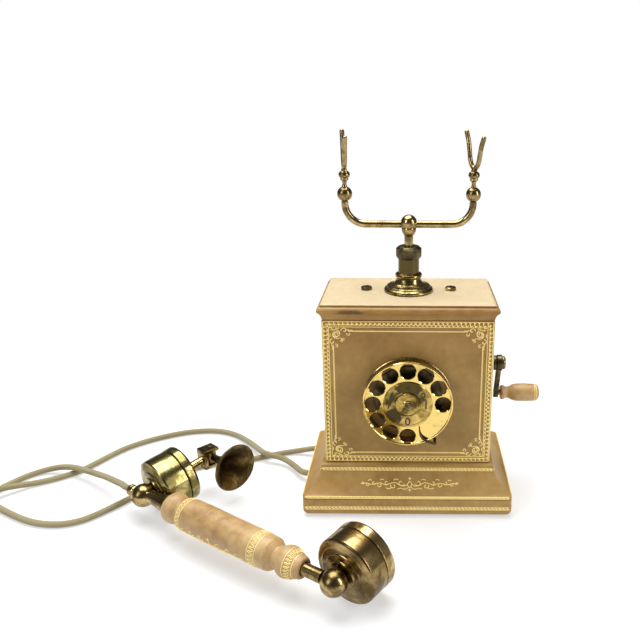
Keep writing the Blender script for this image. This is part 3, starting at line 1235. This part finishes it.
# %% Bush, shaft, arm and handle
SIDE = HALF_WIDTH
BUSH_OUTER = SIDE + 8
piece("crank_bush_turning", [turned([
    (3.4, SIDE - 10), (5, SIDE - 10), (5, SIDE + 0.3), (9, SIDE + 0.3), (9, SIDE + 1.4), (8.2, SIDE + 2.0),
    (6.9, SIDE + 2.5), (6.7, SIDE + 3.4), (6.7, BUSH_OUTER - 0.5), (6.2, BUSH_OUTER), (3.4, BUSH_OUTER)],
    0.25, 80, True, CRANK)], dull_brass, "base", "crank_bush")
piece("crank_shaft_turning", [turned([(0, 47.7), (3, 47.7), (3, 58.1), (5.4, 58.1), (5.4, 61.4),
    (3, 61.4), (3, 85.1), (5.9, 85.1), (6, 86.4), (5.5, 87.5), (4, 88.1), (0, 88.3)], 0.25, 72,
    False, CRANK)], polished_brass, "crank", "crank_shaft")

ARM_INNER, ARM_OUTER, LEAN = 80.0, 84.8, 2.0
arm_outline = [(0, -3.7), (12, -3.1), (20, -3.0), (26, -3.6), (29, -4.8), (32.6, -3.4), (33.8, 0), (32.6, 3.4),
               (29, 4.8), (26, 3.6), (20, 3.0), (12, 3.1), (0, 3.7)]
web_points, web_faces = slab(arm_outline, ARM_INNER + 0.4, ARM_OUTER - 0.2, 0.5)
web_points[:, 2] -= LEAN * np.clip(web_points[:, 0], 0, None) / CRANK_THROW
eye = turned([(0, ARM_INNER), (7.3, ARM_INNER), (7.4, ARM_OUTER), (0, ARM_OUTER)], 0.5, 72)
shaft_hole = turned([(0, 70), (3.15, 70), (3.15, 95), (0, 95)], 0, 48)
pin_hole = turned([(0, 70), (2.65, 70), (2.65, 95), (0, 95)], 0, 48, False, shift(CRANK_THROW, 0, 0))
piece("crank_arm_casting", [moved(drilled(eye, [shaft_hole]), CRANK),
                            moved(drilled((web_points, web_faces), [shaft_hole, pin_hole]), CRANK)],
      dull_brass, "crank", "crank_arm")

HANDLE = CRANK @ shift(CRANK_THROW, 0, 0)
H0 = 84.4
piece("crank_handle_leather", [turned([(0, H0 + 33.6), (2.9, H0 + 33.6), (2.9, H0), (5.7, H0),
    (6.4, H0 + 0.7), (6.6, H0 + 1.9), (6.3, H0 + 3.2), (5.6, H0 + 4.1), (5.1, H0 + 5.4), (5.2, H0 + 6.8),
    (6.0, H0 + 8.6), (7.1, H0 + 10.6), (7.8, H0 + 13), (8.1, H0 + 16.5), (8.15, H0 + 22), (8.0, H0 + 27),
    (7.8, H0 + 30.6), (7.6, H0 + 32.2), (6.9, H0 + 33.7), (5.6, H0 + 34.7), (3.4, H0 + 35.4),
    (0, H0 + 35.6)], 0.5, 80, False, HANDLE), *[(turned([(7.5, H0 + h), (r, H0 + h), (r, H0 + h + 0.5),
    (7.5, H0 + h + 0.5)], 0.12, 80, True, HANDLE), gold_leaf) for h, r in ((30.6, 8.0), (32.0, 7.9))], ],
    handle_calf, "crank_knob", "crank_handle")

# %% [markdown]
# ## The handset
#
# The grip is a turned wooden baluster under leather, on a brass rod between two ball hubs. Each hub carries a
# spun cup with stepped rings on its back and a screwed cap on its front.

# %% Grip, rod and hubs
GRIP_AXIS = HANDSET @ shift(0, 0, 2.2) @ Matrix.Rotation(math.atan2(2.2, HANDSET_SPAN), 4, "Y")
GRIP = GRIP_AXIS @ aim((1, 0, 0))
grip_profile = [(5.2, 35.6), (8.0, 35.6), (9.6, 36.1), (11.1, 37.2), (12.2, 38.9), (12.8, 41.2),
    (12.7, 43.6), (12.2, 45.7), (11.2, 47.6), (10.0, 49.2), (9.1, 50.6), (8.8, 51.8), (9.1, 53.0),
    (10.4, 53.8), (12.2, 54.4), (13.0, 55.4), (13.3, 57.0), (13.5, 59.6), (13.8, 65), (13.8, 76),
    (13.6, 100), (13.5, 128), (13.45, 139), (13.2, 145), (13.0, 150), (12.7, 152.2), (11.6, 154.0),
    (9.8, 155.6), (8.5, 157.0), (8.1, 158.4), (8.4, 159.8), (9.6, 161.4), (11.0, 163.2),
    (11.9, 165.2), (12.3, 167.4), (12.2, 169.4), (11.8, 171.2), (11.2, 172.8), (10.5, 174.4),
    (9.7, 176.2), (9.1, 177.6), (8.8, 179.2), (8.5, 180.6), (7.8, 182.0), (6.9, 182.6), (5.2, 182.6)]
piece("grip_leather", [turned(grip_profile, 0.35, 112, True, GRIP)],
    grip_calf, "handset", "grip")
piece("grip_brass_rod", [turned([(0, 10.4), (5.3, 10.4), (5.7, 11.2), (5.7, 17.8), (6.0, 20.4),
    (6.5, 24.0), (7.2, 28.6), (7.9, 33.8), (7.9, 35.2), (4.9, 35.3), (4.9, 199.6), (0, 199.6)],
    0.3, 64, False, GRIP)], polished_brass, "handset", "grip_rod")


def grip_radius(along):
    outer = [(s, r) for r, s in grip_profile[1:-1]]
    return float(np.interp(along, [s for s, _ in outer], [r for _, r in outer]))


def on_grip(along, degrees, lift=0.05):
    """A point on the grip's leather, at an angle below the level line that faces the front."""
    reach, angle = grip_radius(along) + lift, math.radians(degrees)
    return (along, -reach * math.cos(angle), -reach * math.sin(angle))


# %% [markdown]
# The grip's gilding is narrow rings of scallops near its ends and a spray along the barrel. The rolling tree
# presses flat stamps, which would stand off a round barrel, so each small stroke here is bent round it.

# %% Gilding on the grip
STAMPS_ROUND = 26
grip_gilding = []
for along, wide in ((57.4, 0.5), (61.6, 0.5), (137.2, 0.5), (144.2, 0.5), (170.8, 0.5), (177.4, 0.6)):
    radius = grip_radius(along)
    grip_gilding.append(turned([(radius - 0.4, along - wide / 2), (radius + 0.1, along - wide / 2),
        (radius + 0.1, along + wide / 2), (radius - 0.4, along + wide / 2)], 0.1, 96, True, GRIP))
for along, reach in ((59.5, 1.5), (140.7, 2.4), (174.2, 2.2)):
    for k in range(STAMPS_ROUND):
        spots = [on_grip(along + v * reach, 360 / STAMPS_ROUND * (k + u)) for u, v in
                 ((-0.45, -0.9), (-0.2, 0.7), (0.1, 0.95), (0.35, 0.2), (0.2, -0.5), (0.45, -0.9))]
        grip_gilding.append(swept(spots, 0.3, 4, place=GRIP_AXIS))
for stroke in spray_strokes():
    laid = [on_grip(96 + u * 0.86, 27 - (v - 9) * 4.4) for u, v, _ in drawn(stroke, 1.2)]
    grip_gilding.append(swept(laid, 0.32, 5, place=GRIP_AXIS))
piece("grip_tooling", grip_gilding, gold_leaf, "handset", sharp=80)


# %% The cups
def handset_end(name, place, radius, seam, cap_end, cup_finish, cap_finish, holes):
    back = 11.1
    piece(f"{name}_ball_hub", [turned([
        *arc(10.1, 0, -90, 52, 26), (6.1, 9.0), (6.0, 9.8), (6.0, 10.8), (0, 10.8)], 0.25, 80, False, place)],
        polished_brass, "handset", f"{name}_hub")
    piece(f"{name}_spun_cup", [turned([(3, back), (6.4, back), (6.4, 8.2), (10.8, 8.2),
        (11.2, 8.7), (11.4, 9.3), (15.6, 9.4), (16.2, 9.8), (16.4, 10.4), (20.4, 10.5),
        (21.2, 10.8), (21.8, 11.1), (radius - 1.8, 11.5), (radius - 0.8, 12.1), (radius - 0.1,
        13.1), (radius, 14.2), (radius, seam - 0.6), (radius - 0.6, seam - 0.1),
        (radius - 1.5, seam - 0.1), (radius - 1.5, back + 6), (radius - 4, back + 4),
        (3, back + 4)], 0.3, 144, True, place)], cup_finish, "handset", f"{name}_cup")
    skirt = radius - 1.8
    blank = turned([(0, cap_end - 3.6), (skirt - 1.2, cap_end - 3), (skirt - 1.2, seam - 4), (skirt, seam - 4),
        (skirt, seam + 0.5), (radius - 0.4, seam + 0.5), (radius + 0.2, seam + 1.1), (radius + 0.3,
        cap_end - 2.2), (radius - 0.2, cap_end - 0.9), (radius - 1.0, cap_end - 0.2), (radius - 2.6, cap_end),
        (radius - 4.4, cap_end - 0.4), (radius - 9, cap_end - 1.4), (0, cap_end - 2)], 0.25, 144)
    tools = [turned([(0, cap_end - 6), (r, cap_end - 6), (r, cap_end + 2),
        (0, cap_end + 2)], 0, 28, False, shift(x, y, 0)) for x, y, r in holes]
    up = place.inverted().to_3x3() @ Vector((0, 0, 1))
    pin = place @ shift(0, 0, cap_end - 4.6) @ aim(Vector((up.x, up.y, 0)).normalized())
    head = turned([(0, radius - 1), (1.3, radius - 1), (1.3, radius + 0.5),
        (1.0, radius + 0.9), (0, radius + 1)], 0.1, 24, False, pin)
    piece(f"{name}_screwed_cap", [moved(drilled(blank, tools), place), (head, dull_brass)], cap_finish,
        "handset", f"{name}_cap", 30)


sound_holes = [(0, 0, 1.4)] + [(7.5 * math.cos(a), 7.5 * math.sin(a),
    1.4) for a in np.radians(range(0, 360, 60))]
handset_end("receiver", RECEIVER, 26.8, 28.0, 37.2, brown_brass, cap_brass, sound_holes)
handset_end("transmitter", TRANSMITTER, 25.0, 31.8, 40.6, cup_brass, cup_brass, [(0, 0, 2.4)])
piece("cord_ferrule_turning", [turned([(2.9, 10.4), (4.6, 10.4), (5.0, 11.4), (4.7, 12.8), (4.2, 13.6),
    (4.2, 14.4), (4.8, 15.2), (4.9, 16.4), (4.4, 17.6), (4.0, 18.4), (2.9, 18.4)], 0.2, 56, True,
    HANDSET @ aim((-1, 0, 0)))], polished_brass, "handset", "handset_cord_ferrule")

# %% [markdown]
# ## The mouthpiece horn
#
# A tube leads from the transmitter's cap to a small square bracket. Between its cheeks the horn turns on an
# upright pin, so that it can be swung in when the handset hangs on the cradle.

# %% Bracket, pin and horn
TILTED = ELBOW @ aim((math.cos(math.radians(9)), 0, math.sin(math.radians(9))))
TUBE_START = -28.8
piece("horn_bracket_work", [turned([(2, TUBE_START), (6.2, TUBE_START), (6.5, TUBE_START + 0.7),
    (6.1, TUBE_START + 1.6), (4.4, TUBE_START + 2.4), (4.2, TUBE_START + 4), (4.2, -7.2),
    (2, -7.2)], 0.25, 48, True, TILTED), block(-9.5, -6.2, -6.4, 6.4, -9, 9, 0.35, ELBOW),
    block(-9.5, 5.4, -6.4, 6.4, 6, 9, 0.35, ELBOW), block(-9.5, 5.4, -6.4, 6.4, -9, -6, 0.35,
    ELBOW), ], polished_brass, "handset", "horn_bracket")
piece("horn_pivot_pin", [turned([(0, -9.3), (1.5, -9.3), (1.5, 9.3), (2.6, 9.3), (2.5, 10.0), (1.8, 10.5),
    (0, 10.6)], 0.15, 40, False, ELBOW)], dull_brass, "handset", "horn_pin")

HORN_WAY = heading(-86.25, 0)
HORN = ELBOW @ aim(HORN_WAY)
horn_outer = [(3.1, 2), (3.1, 8), (3.3, 11), (3.9, 14), (5.0, 17.5), (6.2, 20.2), (7.7, 22.7),
    (9.5, 25.2), (11.5, 27.6), (13.6, 29.9), (15.8, 31.9), (17.9, 33.6), (19.7, 34.8), (20.9, 35.3)]
horn_inner = [(0, 12), (2.0, 12.4), (2.7, 14.6), (3.9, 18.1), (5.2, 20.9), (6.7, 23.4), (8.5, 25.9),
    (10.5, 28.3), (12.6, 30.6), (14.8, 32.6), (16.9, 34.3), (18.7, 35.5), (20.2, 36.1)]
rim = [(21.3, 35.5), (21.4, 35.9), (21.1, 36.3), (20.6, 36.4)]
piece("horn_spinning", [
    turned([(0, 1)] + horn_outer + rim, 0.1, 120, False, HORN),
    (turned(horn_inner + [(20.6, 36.4)], 0.0, 120, False, HORN), horn_lining),
    turned([(1.9, -5.6), (5.2, -5.6), (5.2, 5.6), (1.9, 5.6)], 0.4, 48, True, ELBOW),
], horn_brass, "horn", "horn_mouthpiece", 60)

# %% [markdown]
# ## Small fittings and the pieces inside
#
# The grommets are pressed brass. The solids inside the case are right as they are and only need their finish.

# %% Grommets
for name, y in (("line_cord", -2), ("handset_cord", 46)):
    face = HALF_WIDTH + PLINTH_SPREAD + 0.3
    piece(f"{name}_grommet_ring", [turned([(3.05, face - 10.4), (3.95, face - 10.4), (3.95, face),
        (5.3, face), (5.3, face + 0.6), (4.6, face + 1.3), (3.6, face + 1.5), (3.05, face + 1.3)], 0.15,
        48, True, aim((-1, 0, 0), (0, y, 8)))], dull_brass, "base", f"{name}_grommet")

# %% Finishes for the pieces kept from the frame
kept_finishes = {
    "felt_pad": green_felt, "base_plate": zinc_steel, "spring_bracket": zinc_steel, "hook_switch": phenolic,
    "dial_mount_plate": dull_brass, "ringer_plate": zinc_steel, "gong_left": polished_brass,
    "gong_right": polished_brass, "ringer_magnet": wound_wire, "induction_coil": wound_wire,
    "terminal_block": phenolic, "cradle_spring": zinc_steel, "hook_lever": zinc_steel, "dial_arbor": zinc_steel,
    "governor": zinc_steel, "clapper": zinc_steel, "crank_handle_pin": polished_brass,
    "receiver_capsule": black_moulding, "transmitter_capsule": black_moulding,
}
for node_name, finish in kept_finishes.items():
    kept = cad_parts[node_name]
    kept.data.materials.clear()
    kept.data.materials.append(finish)
print("pieces made:", len(made_pieces), "kept from the frame:", len(kept_finishes))
